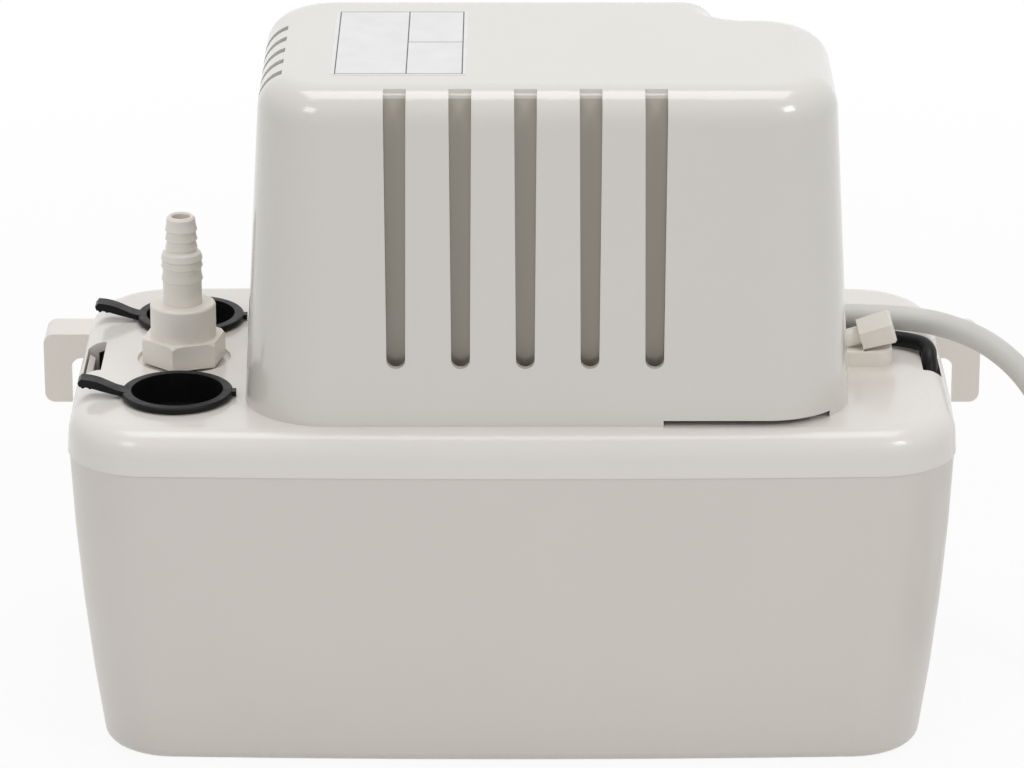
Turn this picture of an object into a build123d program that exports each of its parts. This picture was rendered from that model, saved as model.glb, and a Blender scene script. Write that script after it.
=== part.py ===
from build123d import *
import math
import os

os.makedirs("parts", exist_ok=True)

# Driving dimensions, in millimetres
# X runs along the tank, Y to the rear (the wall side), Z up. Z = 0 is the tank's base.

# Fits and clearances
RUN_GAP = 0.3            # between bodies that move past each other
SEAT_GAP = 0.2           # between moulded pieces that locate in each other
SHAFT_GAP = 0.04         # radial clearance of shafts and pins in their bearings
SCREW_GAP = 0.3          # radial clearance of screw shanks in their holes

# Tank
LENGTH = 280.0           # lid, end to end
WIDTH = 147.0            # lid, front to rear
LID_CORNER = 26.0        # plan radius of the lid's corners
SIDE_BOW = 3.0           # the long sides bulge by this much at the middle
END_BOW = 1.0
LID_STEP = 0.5           # the lid's skirt stands this far outside the tank
TANK_WALL = 2.4
TANK_FLOOR = 3.0
TANK_LEAN = 8.5          # each wall leans in by this much from seam to base
TANK_SWELL = 1.3         # each wall bulges by this much at mid height
TANK_BASE_ROUND = 3.6
SEAM_Z = 100.5           # height of the joint between tank and lid
TONGUE_THICK = 1.8       # latch tongues that rise into the lid's slots
TONGUE_TOP = 110.4

# Hanging lugs
LUG_REACH = 156.5        # outer face, from the middle
LUG_DEPTH = 15.6         # front to rear
LUG_HEIGHT = 24.0
LUG_WALL = 2.5
LUG_ROUND = 3.4
HANG_SLOT_X = 143.9      # middle of the hanging slot
HANG_SLOT_WIDE = 7.0
HANG_SLOT_RISE = 15.6    # from the lug's lower edge to the slot's crown

# Lid
LID_HEIGHT = 13.5
LID_WALL = 3.0
LID_SHOULDER = 8.0
LID_LEAN = 0.8           # the skirt leans in by this much towards the top
LIP_WALL = 1.8           # locating lip that drops inside the tank
LIP_DROP = 5.0
SLOT_X = 134.4           # middle of a latch slot
SLOT_WIDE = 6.0
SLOT_LONG = 26.0

# Inlets, with the check valve between them
INLET_X = -105.5
INLET_PITCH = 71.0
INLET_ROW_Y = -1.0
INLET_BORE = 32.6        # takes a 32 mm drain pipe
INLET_SPIGOT = 12.0      # depth of the tube below the lid
SPIGOT_WALL = 2.0
VALVE_SOCKET = 30.0      # shallow round recess that the hexagon sits in
SOCKET_DEPTH = 1.2

# Inlet plugs
PLUG_FLANGE = 35.2
PLUG_FLANGE_THICK = 2.0
PLUG_WALL = 1.5
PLUG_DEPTH = 9.0
PLUG_FLOOR = 1.6
TAB_LONG = 13.5
TAB_WIDE = 5.6
TAB_THICK = 2.4
TAB_RISE = 4.2
GRIP_RADIUS = 0.7

# Check valve and hose tail
HEX_ACROSS_CORNERS = 27.6
HEX_TURN = 18.5          # degrees
HEX_TOP = 7.8            # above the lid
COLLAR = 21.0
COLLAR_TOP = 18.8
TAIL_LOWER = 12.4        # outer diameter between the lower barbs
TAIL_UPPER = 9.4
BARB_RISE = 0.45
TAIL_BORE = 6.0
TAIL_TOP = 48.0
LOWER_BARBS = (27.0, 31.4, 33.8)
UPPER_BARBS = (37.5, 40.4, 43.5)
NECK_Z = 35.8
BALL = 9.0
VALVE_BORE = 11.0
VALVE_SEAT_BORE = 6.5
VALVE_SPIGOT = 12.0      # outer diameter of the spigot under the lid
VALVE_SPIGOT_DROP = 22.0
SEAT_RISE = 2.5          # ball seat above the lid
TAIL_PLUG = 15.0         # part of the tail that is pushed into the collar
TAIL_PLUG_RISE = 14.0    # its foot above the lid
SEAL = 21.0
SEAL_THICK = 0.7

# Motor cover
COVER_LEFT = -84.0
COVER_RIGHT = 106.0
COVER_FRONT = -63.5
COVER_REAR = 57.0
COVER_HEIGHT = 106.0
COVER_LEAN = 6.0         # each wall leans in by this much from foot to top
COVER_CORNER = 27.0
COVER_CORNER_TOP = 22.0
COVER_WALL = 2.5
COVER_TOP_ROUND = 11.0
SCALLOP_X = 72.0         # foot of the step in the rear wall
SCALLOP_STEP = 21.0
SCALLOP_ROUND = 9.2      # inside corner of the step
SCALLOP_CREST = 11.6     # outside corner of the step
VENT_COUNT = 5
VENT_PITCH = 20.0
VENT_MIDDLE_X = 4.1
VENT_WIDE = 7.0
VENT_NARROW = 5.8
VENT_FOOT = 18.7         # above the lid
VENT_BACK = 13.0         # how far the vents cut into the shoulder
SIDE_VENT_PITCH = 12.0
SIDE_VENT_MIDDLE_Y = -8.8
SIDE_VENT_WIDE = 4.4
SPLASH_WALL = 1.5        # wall that hangs behind the front vents
SPLASH_GAP = 3.5         # from the inner face of the cover's front
SPLASH_FOOT = 12.0       # above the lid
FOOT_NOTCH = (47.0, 99.0, 1.9)   # from X, to X, height

# Pump shaft
SHAFT_X = 4.0
SHAFT_Y = -16.0
SHAFT = 6.0
SHAFT_HOLE = 12.0

# Motor
STACK_FOOT = 26.0        # underside of the laminations above the lid
STACK_HEADROOM = 50.0    # from the laminations to the cover's top
STACK_WIDE = 76.0
STACK_FRONT = 30.0       # from the shaft to the front edge
STACK_REAR = 22.0        # from the shaft to the window
LEG_WIDE = 14.0
LEG_REACH = 40.0         # from the shaft to the leg's end
CORE_BAR_DEEP = 16.0
COIL_LONG = 44.0
COIL_WALL = 6.5
BOBBIN_WALL = 1.2
ROTOR = 32.2
AIR_GAP = 0.4
BEARING = 14.0
BEARING_LONG = 8.0
STRAP_WIDE = 22.0
STRAP_THICK = 2.5
STRAP_RISE = 12.0
FAN_RADIUS = 33.0
FAN_BLADES = 5
FAN_HUB = 14.0
FAN_DEEP = 12.0
FAN_RISE = 20.0          # from the laminations to the fan

# Pump
COLUMN_FLANGE = 72.0
COLUMN_TOP = 46.0
COLUMN_FOOT = 36.0
COLUMN_WALL = 2.4
COLUMN_PLATE = 3.0
VOLUTE_Z = 10.0
VOLUTE_HIGH = 14.5
VOLUTE_OUTER = 60.0
VOLUTE_CAVITY = 50.0
VOLUTE_FLOOR = 3.0
VOLUTE_COVER = 2.5
OUTLET_Y = 21.0          # outlet axis, behind the shaft
OUTLET_OD = 12.0
OUTLET_BORE = 8.0
OUTLET_REACH = 46.0
EYE_BORE = 14.0
IMPELLER = 44.0
IMPELLER_BLADES = 6
STRAINER = 52.0
STRAINER_THICK = 2.2
HOSE_WALL = 2.0

# Main float
PIVOT_X = 50.0
PIVOT_Z = 84.0
PIN = 3.0
CHEEK_GAP = 13.0
CHEEK = 2.5
FLOAT_REST = -35.0       # degrees, arm with the tank empty
FLOAT_SWING = 30.0
FLOAT_REACH = 58.0
FLOAT_LONG = 40.0
FLOAT_WIDE = 44.0
FLOAT_HIGH = 22.0
FINGER = 9.0             # from the pivot to the point that lifts the rod
FINGER_REST = -15.0
ROD = 4.0

# Microswitch
LEVER = 20.0
SWITCH_LONG = 28.0
SWITCH_HIGH = 16.0
SWITCH_WIDE = 10.0
LEVER_PIVOT_Z = 17.0     # above the lid
PLUNGER = 3.0
PLUNGER_ARM = 6.7
SWITCH_HOLE_PITCH = 22.2

# Safety float
SAFETY_END = 28.0        # from the lid's end to the stem
SAFETY_SIDE = 28.5       # from the lid's front to the stem
SAFETY_STEM = 8.0
SAFETY_RING = 22.0
SAFETY_RING_HIGH = 18.0
SAFETY_PLATE_Z = 76.0    # underside of the bracket's plate
SAFETY_PLATE = 2.5
SAFETY_STEM_LONG = 38.0  # below the plate
SAFETY_NUT = 14.0        # across corners
STOP_FOOT = 2.0          # stop ring, above the stem's foot
STOP_TOP = 4.6

# Gland at the right of the cover
GLAND_RIGHT = 122.0
GLAND_LEFT = 98.0
GLAND_FRONT = -10.0
GLAND_REAR = 4.0
GLAND_HIGH = 5.2
GLAND_NUT = 12.4
GLAND_NUT_LONG = 11.0
GLAND_TILT = 16.5
GLAND_NECK = 6.0
GLAND_NECK_Y = -4.6
BUSHING_WALL = 0.8

# Leads and cord
ALARM_LEAD = 5.0
ALARM_Y = 11.0
CORD = 8.0
CORD_Y = 19.0
CORD_RISE = 6.8          # above the lid
BUSHING_X = 99.0         # inner end of the cord's bushing in the cover wall
CLAMP_X = 86.0
CLAMP_SCREW_SIDE = 7.6   # from the cord to the clamp's screw
TERMINALS_RIGHT = 78.0
COIL_X = 239.0           # middle of the coil
COIL_Y = -84.0
COIL_MEAN_RADIUS = 40.0
COIL_SIDE_PITCH = 7.8    # three turns side by side
COIL_LEVEL_PITCH = 7.4   # on two levels
COIL_LEAD_IN = 8.0       # degrees by which the cord's ends turn in towards the coil
COIL_LEAD_TILT = 0.02    # rise of a stub over its length
PLUG_BODY = 36.5
PLUG_PIN = 4.8
PIN_PITCH = 19.0
PIN_LONG = 19.0
FACE_LONG = 18.0
GRIP_LONG = 20.0
SLEEVE_LONG = 24.0
SLEEVE_THIN = 10.5
SLEEVE_THICK = 14.0

# Derived sizes
LID_TOP = SEAM_Z + LID_HEIGHT
LID_UNDER = LID_TOP - LID_WALL
LUG_TOP = SEAM_Z - RUN_GAP
LUG_REAR = WIDTH / 2
LUG_FRONT = LUG_REAR - LUG_DEPTH
STACK_Z = LID_TOP + STACK_FOOT
STACK = COVER_HEIGHT - STACK_FOOT - STACK_HEADROOM
FAN_FOOT = STACK_FOOT + STACK + FAN_RISE
STRAP_SCREW_X = STACK_WIDE / 2 - LEG_WIDE / 2
SAFETY_X = LENGTH / 2 - SAFETY_END
SAFETY_Y = SAFETY_SIDE - WIDTH / 2
INLET_YS = (INLET_ROW_Y - INLET_PITCH / 2, INLET_ROW_Y + INLET_PITCH / 2)
VOLUTE_TOP = VOLUTE_Z + VOLUTE_HIGH
CLAMP_SCREW_Y = CORD_Y + CLAMP_SCREW_SIDE
TAIL_PLUG_FOOT = LID_TOP + TAIL_PLUG_RISE
SEAT_Z = LID_TOP + SEAT_RISE
LOW_END = (Align.CENTER, Align.CENTER, Align.MIN)
CLAMP_TOP = LID_TOP + CORD_RISE + CORD / 2 + 2.5


def cylinder(radius, low, high, x=0.0, y=0.0):
    """Upright cylinder between two heights."""
    return Pos(x, y, low) * extrude(Circle(radius), high - low)


def ring(outer, inner, low, high, x=0.0, y=0.0):
    """Upright ring given by its two diameters."""
    return Pos(x, y, low) * extrude(Circle(outer / 2) - Circle(inner / 2), high - low)


def block(x0, x1, y0, y1, z0, z1):
    """Box between two corners."""
    middle = Pos((x0 + x1) / 2, (y0 + y1) / 2, (z0 + z1) / 2)
    return middle * Box(x1 - x0, y1 - y0, z1 - z0)


def bowed_plan(length, width, corner, z, inset=0.0):
    """Outline with bulging sides and round corners, at height z."""
    half_l = length / 2 - inset
    half_w = width / 2 - inset
    x = half_l - END_BOW
    y = half_w - SIDE_BOW
    sides = Curve() + [
        ThreePointArc((-x, -y), (0, -half_w), (x, -y)),
        ThreePointArc((x, -y), (half_l, 0), (x, y)),
        ThreePointArc((x, y), (0, half_w), (-x, y)),
        ThreePointArc((-x, y), (-half_l, 0), (-x, -y)),
    ]
    outline = make_face(sides)
    return Pos(0, 0, z) * fillet(outline.vertices(), corner - inset)


def tank_plan(z, inset=0.0):
    """The tank's outline at height z."""
    share = z / SEAM_Z
    lean = TANK_LEAN * (1 - share) - 4 * TANK_SWELL * share * (1 - share)
    length = LENGTH - 2 * LID_STEP - 2 * lean
    width = WIDTH - 2 * LID_STEP - 2 * lean
    corner = LID_CORNER - LID_STEP - lean / 4
    return bowed_plan(length, width, corner, z, inset)


def save(node, shape):
    export_step(shape, f"parts/{node}.step")


# Tank

def tank_outside():
    body = loft([tank_plan(SEAM_Z * k / 4) for k in range(5)], ruled=True)
    return fillet(body.edges().group_by(Axis.Z)[0], TANK_BASE_ROUND)


def tank_inside():
    levels = [TANK_FLOOR] + [SEAM_Z * k / 4 for k in range(1, 5)]
    hollow = loft([tank_plan(z, TANK_WALL) for z in levels], ruled=True)
    hollow = fillet(hollow.edges().group_by(Axis.Z)[0], TANK_BASE_ROUND)
    top = extrude(tank_plan(SEAM_Z, TANK_WALL), 1.0)
    return hollow + top


def latch_tongue(side, y0, y1):
    """Tongue on the inside of an end wall that rises into the lid's slot."""
    outer = LENGTH / 2 - LID_WALL - SEAT_GAP
    inner = outer - TONGUE_THICK
    foot = SEAM_Z - 8.0
    profile = make_face(Polyline(
        (outer, foot), (outer, TONGUE_TOP), (inner, TONGUE_TOP - 1.2),
        (inner, SEAM_Z - 2.0), close=True))
    tongue = Pos(0, y1, 0) * (Plane.XZ * profile)
    tongue = extrude(tongue, y1 - y0, dir=(0, -1, 0))
    return tongue if side > 0 else mirror(tongue, Plane.YZ)


outside = tank_outside()
tank = outside - tank_inside()
tank += latch_tongue(-1, -10.5, 11.0)
tank += latch_tongue(1, 0.5, 11.0)
save("tank", tank)


# Hanging lugs: hoods at the rear corners, open to the wall, with a slot from below

def hanging_lug(side):
    foot = LUG_TOP - LUG_HEIGHT
    inner_x = LENGTH / 2 - LID_CORNER
    hood = block(inner_x, LUG_REACH, LUG_FRONT, LUG_REAR, foot, LUG_TOP)
    corners = hood.edges().filter_by(Axis.Y).sort_by(Axis.X)[-2:]
    hood = fillet(corners, LUG_ROUND)
    hollow = block(inner_x - 1, LUG_REACH - LUG_WALL, LUG_FRONT + LUG_WALL, LUG_REAR + 1,
                   foot - 1, LUG_TOP - LUG_WALL)
    hood -= hollow
    radius = HANG_SLOT_WIDE / 2
    crown = foot + HANG_SLOT_RISE - radius
    slot = block(HANG_SLOT_X - radius, HANG_SLOT_X + radius, LUG_FRONT - 1,
                 LUG_FRONT + LUG_WALL + 1, foot - 1, crown)
    arch = Pos(HANG_SLOT_X, LUG_FRONT + LUG_WALL / 2, crown) * Rot(90, 0, 0)
    slot += arch * Cylinder(radius, LUG_WALL + 2)
    hood -= slot
    hood -= outside
    return hood if side > 0 else mirror(hood, Plane.YZ)


save("left_hanging_lug", hanging_lug(-1))
save("right_hanging_lug", hanging_lug(1))


# Lid

def cover_plan(z, inset=0.0):
    """The motor cover's outline at height z above the lid, stepped at the rear right."""
    share = z / COVER_HEIGHT
    d = COVER_LEAN * share + inset
    corner = COVER_CORNER + (COVER_CORNER_TOP - COVER_CORNER) * share - inset
    left, right = COVER_LEFT + d, COVER_RIGHT - d
    front, rear = COVER_FRONT + d, COVER_REAR - d
    step_x, step_y = SCALLOP_X - d, rear - SCALLOP_STEP
    points = [(left, front), (right, front), (right, step_y), (step_x, step_y),
              (step_x, rear), (left, rear)]
    radii = [corner, corner, corner, SCALLOP_ROUND + inset, SCALLOP_CREST - inset, corner]
    outline = FilletPolyline(*points, radius=radii, close=True)
    return Pos(0, 0, LID_TOP + z) * make_face(outline)


def cover_boss_places():
    """Middles of the four screw bosses inside the cover."""
    reach = (COVER_CORNER - COVER_WALL - 3.5) / math.sqrt(2)
    front = COVER_FRONT + COVER_CORNER - reach
    rear = COVER_REAR - COVER_CORNER + reach
    left = COVER_LEFT + COVER_CORNER - reach
    right = COVER_RIGHT - COVER_CORNER + reach
    return [(left, front), (right, front), (left, rear), (48.0, COVER_REAR - COVER_WALL - 3.5)]


def lid_shell():
    top_length = LENGTH - 2 * LID_LEAN
    top_width = WIDTH - 2 * LID_LEAN
    outer = loft([bowed_plan(LENGTH, WIDTH, LID_CORNER, SEAM_Z),
                  bowed_plan(top_length, top_width, LID_CORNER, LID_TOP)], ruled=True)
    outer = fillet(outer.edges().group_by(Axis.Z)[-1], LID_SHOULDER)
    inner = loft([bowed_plan(LENGTH, WIDTH, LID_CORNER, SEAM_Z, LID_WALL),
                  bowed_plan(top_length, top_width, LID_CORNER, LID_UNDER, LID_WALL)], ruled=True)
    inner = fillet(inner.edges().group_by(Axis.Z)[-1], LID_SHOULDER - LID_WALL)
    return outer - inner


def locating_lip():
    gap = TANK_WALL + SEAT_GAP + LID_STEP + 1.0
    foot = SEAM_Z - LIP_DROP
    outer = bowed_plan(LENGTH, WIDTH, LID_CORNER, foot, gap)
    inner = bowed_plan(LENGTH, WIDTH, LID_CORNER, foot, gap + LIP_WALL)
    return extrude(outer - inner, LID_UNDER - foot + 0.6)


def latch_slot(side):
    half_x, half_y = SLOT_WIDE / 2, SLOT_LONG / 2
    slot = block(SLOT_X - half_x, SLOT_X + half_x, -half_y, half_y,
                 SEAM_Z - LIP_DROP - 1, LID_TOP + 1)
    return slot if side > 0 else mirror(slot, Plane.YZ)


def make_lid():
    lid = lid_shell() + locating_lip()
    lid -= latch_slot(-1)
    lid -= latch_slot(1)
    for y in INLET_YS:
        lid += cylinder(INLET_BORE / 2 + SPIGOT_WALL, LID_TOP - INLET_SPIGOT, LID_UNDER + 0.5,
                        INLET_X, y)
    for y in INLET_YS:
        lid -= cylinder(INLET_BORE / 2, LID_TOP - INLET_SPIGOT - 1, LID_TOP + 1, INLET_X, y)
    lid -= cylinder(VALVE_SOCKET / 2, LID_TOP - SOCKET_DEPTH, LID_TOP + 1, INLET_X, INLET_ROW_Y)
    lid -= cylinder(VALVE_SPIGOT / 2 + SEAT_GAP, 0, LID_TOP, INLET_X, INLET_ROW_Y)
    lid += ring(SHAFT_HOLE + 8, SHAFT_HOLE, LID_UNDER, LID_TOP + 3, SHAFT_X, SHAFT_Y)
    lid -= cylinder(SHAFT_HOLE / 2, 0, LID_TOP + 5, SHAFT_X, SHAFT_Y)
    rod_x = PIVOT_X + FINGER * math.cos(math.radians(FINGER_REST))
    lid += cylinder(5.0, LID_UNDER, LID_TOP + 4, rod_x, 0)
    lid -= cylinder(ROD / 2 + RUN_GAP, 0, LID_TOP + 5, rod_x, 0)
    for x, y in cover_boss_places():
        lid -= cylinder(1.8 + SCREW_GAP, 0, LID_TOP + 1, x, y)
    for x, y in column_screw_places():
        lid -= cylinder(2.0 + SCREW_GAP, 0, LID_TOP + 1, x, y)
    for x, y in motor_bolt_places():
        lid += cylinder(5.0, LID_UNDER, STACK_Z, x, y)
        lid -= cylinder(2.0, STACK_Z - 14, STACK_Z + 1, x, y)
    return lid


def column_screw_places():
    radius = COLUMN_FLANGE / 2 - 6.0
    return [(SHAFT_X + radius * math.cos(math.radians(a)), SHAFT_Y + radius * math.sin(math.radians(a)))
            for a in (30, 150, 270)]


def motor_bolt_places():
    x = STACK_WIDE / 2 - LEG_WIDE / 2
    front = SHAFT_Y - STACK_FRONT + 7.0
    rear = SHAFT_Y + LEG_REACH + CORE_BAR_DEEP / 2
    return [(SHAFT_X - x, front), (SHAFT_X + x, front), (SHAFT_X - x, rear), (SHAFT_X + x, rear)]


save("lid", make_lid())


# Motor cover

def vent_cutter():
    """One tapered vent with a round foot, drawn looking at the cover's front."""
    foot = LID_TOP + VENT_FOOT + VENT_NARROW / 2
    top = LID_TOP + COVER_HEIGHT + 1
    shape = make_face(Polyline((-VENT_NARROW / 2, foot), (VENT_NARROW / 2, foot),
                               (VENT_WIDE / 2, top), (-VENT_WIDE / 2, top), close=True))
    shape += Pos(0, foot) * Circle(VENT_NARROW / 2)
    return shape


def splash_wall(outer):
    """Wall parallel to the cover's front, open below and at both ends for the air."""
    front = COVER_FRONT + COVER_WALL + SPLASH_GAP
    half = (VENT_COUNT - 1) / 2 * VENT_PITCH + VENT_WIDE / 2 + 1.5
    high = COVER_HEIGHT - COVER_WALL / 2
    side = make_face(Polyline((front, 0), (front + SPLASH_WALL, 0), (front + SPLASH_WALL + COVER_LEAN, COVER_HEIGHT),
                              (front + COVER_LEAN, COVER_HEIGHT), close=True))
    place = Plane(origin=(VENT_MIDDLE_X - half, 0, LID_TOP), x_dir=(0, 1, 0), z_dir=(1, 0, 0))
    wall = extrude(place * side, 2 * half)
    room = block(VENT_MIDDLE_X - half - 1, VENT_MIDDLE_X + half + 1, COVER_FRONT, 0,
                 LID_TOP + SPLASH_FOOT, LID_TOP + high)
    shell = Pos(0, 0, -COVER_WALL / 2) * outer
    return wall & room & shell


def make_cover():
    outer = loft([cover_plan(0), cover_plan(COVER_HEIGHT)], ruled=True)
    outer = fillet(outer.edges().group_by(Axis.Z)[-1], COVER_TOP_ROUND)
    under = COVER_HEIGHT - COVER_WALL
    inner = loft([cover_plan(0, COVER_WALL), cover_plan(under, COVER_WALL)], ruled=True)
    inner = fillet(inner.edges().group_by(Axis.Z)[-1], COVER_TOP_ROUND - COVER_WALL)
    cover = outer - inner
    for x, y in cover_boss_places():
        cover += cylinder(4.5, LID_TOP, LID_TOP + 20, x, y) & outer
        cover -= cylinder(1.8 + SHAFT_GAP, LID_TOP - 1, LID_TOP + 16, x, y)
    for k in range(VENT_COUNT):
        x = VENT_MIDDLE_X + (k - (VENT_COUNT - 1) / 2) * VENT_PITCH
        plane = Plane(origin=(x, COVER_FRONT + VENT_BACK, 0), x_dir=(1, 0, 0), z_dir=(0, -1, 0))
        cover -= extrude(plane * vent_cutter(), 20)
    cover += splash_wall(outer)
    for k in range(VENT_COUNT):
        y = SIDE_VENT_MIDDLE_Y + (k - (VENT_COUNT - 1) / 2) * SIDE_VENT_PITCH
        plane = Plane(origin=(COVER_LEFT + VENT_BACK, y, 0), x_dir=(0, -1, 0), z_dir=(-1, 0, 0))
        narrow = scale(vent_cutter(), (SIDE_VENT_WIDE / VENT_WIDE, 1, 1))
        cover -= extrude(plane * narrow, 20)
    x0, x1, rise = FOOT_NOTCH
    cover -= block(x0, x1, COVER_FRONT - 1, COVER_FRONT + COVER_CORNER * 0.7, LID_TOP - 1, LID_TOP + rise)
    lead_hole = ALARM_LEAD / 2 + RUN_GAP
    cover -= wall_notch(CORD_Y, CORD_RISE, CORD / 2 + BUSHING_WALL + SEAT_GAP)
    cover -= wall_notch(ALARM_Y, lead_hole, lead_hole)
    wall = (COVER_RIGHT - 8, COVER_RIGHT + 2)
    cover -= block(*wall, ALARM_Y, CORD_Y, LID_TOP - 1, LID_TOP + lead_hole)
    cover -= block(*wall, GLAND_FRONT - SEAT_GAP, GLAND_REAR + SEAT_GAP, LID_TOP - 1, LID_TOP + GLAND_HIGH + SEAT_GAP)
    cover -= wall_notch(GLAND_NECK_Y, GLAND_HIGH + 1.7, GLAND_NECK / 2 + 0.6)
    return cover


def wall_notch(y, rise, radius):
    """Round-topped mouse hole through the cover's right wall."""
    low = block(COVER_RIGHT - 8, COVER_RIGHT + 2, y - radius, y + radius, LID_TOP - 1, LID_TOP + rise)
    arch = Pos(COVER_RIGHT - 3, y, LID_TOP + rise) * Rot(0, 90, 0) * Cylinder(radius, 10)
    return low + arch


save("motor_cover", make_cover())


# Inlet plugs: rubber cups with a raised pull tab that has grip bumps below its tip

def inlet_plug(y):
    seat = LID_TOP + RUN_GAP
    barrel = INLET_BORE / 2 - RUN_GAP
    foot = LID_TOP - PLUG_DEPTH
    cup = cylinder(PLUG_FLANGE / 2, seat, seat + PLUG_FLANGE_THICK)
    cup = fillet(cup.edges().filter_by(GeomType.CIRCLE), 0.8)
    cup += cylinder(barrel, foot, seat + 1)
    cup -= cylinder(barrel - PLUG_WALL, foot + PLUG_FLOOR, seat + PLUG_FLANGE_THICK + 1)
    root = -PLUG_FLANGE / 2 + 1.6
    tip = -PLUG_FLANGE / 2 - TAB_LONG
    low, high = seat + 0.1, seat + PLUG_FLANGE_THICK
    side = make_face(Curve() + [
        Line((root, low), (root, high)),
        Spline((root, high), ((root + tip) / 2, high + TAB_RISE * 0.66), (tip + 1, high + TAB_RISE),
               tangents=((-1, 0.12), (-1, 0.05))),
        Line((tip + 1, high + TAB_RISE), (tip, high + TAB_RISE - 1.2)),
        Line((tip, high + TAB_RISE - 1.2), (tip + 0.4, high + TAB_RISE - TAB_THICK)),
        Spline((tip + 0.4, high + TAB_RISE - TAB_THICK),
               ((root + tip) / 2, low + TAB_RISE * 0.5), (root, low),
               tangents=((1, -0.05), (1, -0.3))),
    ])
    tab = Pos(0, TAB_WIDE / 2, 0) * extrude(Plane.XZ * side, TAB_WIDE)
    cup += tab
    for k in range(3):
        for across in (-1, 1):
            x = tip + 1.6 + 2.3 * k
            z = high + TAB_RISE - TAB_THICK - 0.1 - 0.25 * k
            cup += Pos(x, across * (TAB_WIDE / 2 - GRIP_RADIUS), z) * Sphere(GRIP_RADIUS)
    nub = Pos(PLUG_FLANGE / 2, 0, seat + PLUG_FLANGE_THICK / 2) * Box(2.0, 3.0, PLUG_FLANGE_THICK * 0.8)
    return Pos(INLET_X, y, 0) * (cup + nub)


save("front_inlet_plug", inlet_plug(INLET_YS[0]))
save("rear_inlet_plug", inlet_plug(INLET_YS[1]))


# Check valve, hose tail and the seal below them

def make_valve_body():
    foot = LID_TOP - SOCKET_DEPTH + SEAL_THICK
    hexagon = RegularPolygon(HEX_ACROSS_CORNERS / 2, 6, rotation=HEX_TURN)
    body = Pos(0, 0, foot) * extrude(hexagon, LID_TOP + HEX_TOP - foot)
    crown = Pos(0, 0, LID_TOP + HEX_TOP) * Cone(HEX_ACROSS_CORNERS / 2 + 5, HEX_ACROSS_CORNERS / 2 - 0.8, 8,
                                               align=(Align.CENTER, Align.CENTER, Align.MAX))
    body = body & crown
    collar = cylinder(COLLAR / 2, LID_TOP + HEX_TOP - 1, LID_TOP + COLLAR_TOP)
    body += fillet(collar.edges().group_by(Axis.Z)[-1], 0.9)
    body += cylinder(VALVE_SPIGOT / 2, LID_TOP - VALVE_SPIGOT_DROP, foot + 1)
    body -= cylinder(TAIL_PLUG / 2, TAIL_PLUG_FOOT, LID_TOP + COLLAR_TOP + 1)
    body -= cylinder(VALVE_BORE / 2, SEAT_Z, TAIL_PLUG_FOOT + 1)
    body -= cylinder(VALVE_SEAT_BORE / 2, 0, SEAT_Z + 1)
    return Pos(INLET_X, INLET_ROW_Y, 0) * body


def barbed_outline():
    """Half section of the tail, from its foot up: radius and height pairs."""
    lower, upper = TAIL_LOWER / 2, TAIL_UPPER / 2
    points = [(TAIL_PLUG / 2, TAIL_PLUG_FOOT), (TAIL_PLUG / 2, LID_TOP + COLLAR_TOP), (lower, LID_TOP + COLLAR_TOP)]
    for radius, barbs in ((lower, LOWER_BARBS), (upper, UPPER_BARBS)):
        for z in barbs:
            points += [(radius, LID_TOP + z - 0.6), (radius + BARB_RISE, LID_TOP + z), (radius, LID_TOP + z + 1.9)]
        if radius == lower:
            points += [(lower - 0.3, LID_TOP + NECK_Z), (upper, LID_TOP + NECK_Z + 0.9)]
    points += [(upper - 0.1, LID_TOP + TAIL_TOP - 0.8), (upper - 0.8, LID_TOP + TAIL_TOP)]
    return points


def make_hose_tail():
    bore = TAIL_BORE / 2
    points = barbed_outline()
    points += [(bore + 0.4, LID_TOP + TAIL_TOP), (bore, LID_TOP + TAIL_TOP - 0.5), (bore, TAIL_PLUG_FOOT)]
    section = make_face(Polyline(*points, close=True))
    return Pos(INLET_X, INLET_ROW_Y, 0) * revolve(Plane.XZ * section, Axis.Z)


save("check_valve_body", make_valve_body())
save("hose_tail", make_hose_tail())
seal_foot = LID_TOP - SOCKET_DEPTH
save("valve_seal", ring(SEAL, VALVE_SPIGOT + 2 * SEAT_GAP, seal_foot, seal_foot + SEAL_THICK,
                        INLET_X, INLET_ROW_Y))
ball_rise = math.sqrt((BALL / 2) ** 2 - (VALVE_SEAT_BORE / 2) ** 2) + RUN_GAP
save("check_ball", Pos(INLET_X, INLET_ROW_Y, SEAT_Z + ball_rise) * Sphere(BALL / 2))


# Motor: laminated core with its coil at the rear and the rotor in its bore

def about_shaft(shape, z=0.0):
    return Pos(SHAFT_X, SHAFT_Y, z) * shape


def shading_places():
    """Corners of the shading rings' two uprights, on each side of the rotor."""
    x = ROTOR / 2 + AIR_GAP + 2.8
    return [(side * x, 2.0, 12.0) for side in (-1, 1)]


def make_stator():
    half = STACK_WIDE / 2
    pole = Pos(0, (STACK_REAR - STACK_FRONT) / 2) * Rectangle(STACK_WIDE, STACK_FRONT + STACK_REAR)
    pole = fillet(pole.vertices().sort_by(Axis.Y)[:2], 4.0)
    outline = pole
    for side in (-1, 1):
        leg = Rectangle(LEG_WIDE, LEG_REACH - STACK_REAR + 2)
        outline += Pos(side * (half - LEG_WIDE / 2), (LEG_REACH + STACK_REAR - 2) / 2) * leg
    outline -= Circle(ROTOR / 2 + AIR_GAP)
    for x, y0, y1 in shading_places():
        for y in (y0, y1):
            outline -= Pos(x, y) * Rectangle(2.4, 2.4)
    for x in (-STRAP_SCREW_X, STRAP_SCREW_X):
        outline -= Pos(x, 0) * Circle(2.0 + SCREW_GAP)
        outline -= Pos(x, 7.0 - STACK_FRONT) * Circle(1.9 + SCREW_GAP)
    return about_shaft(extrude(outline, STACK), STACK_Z)


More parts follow.
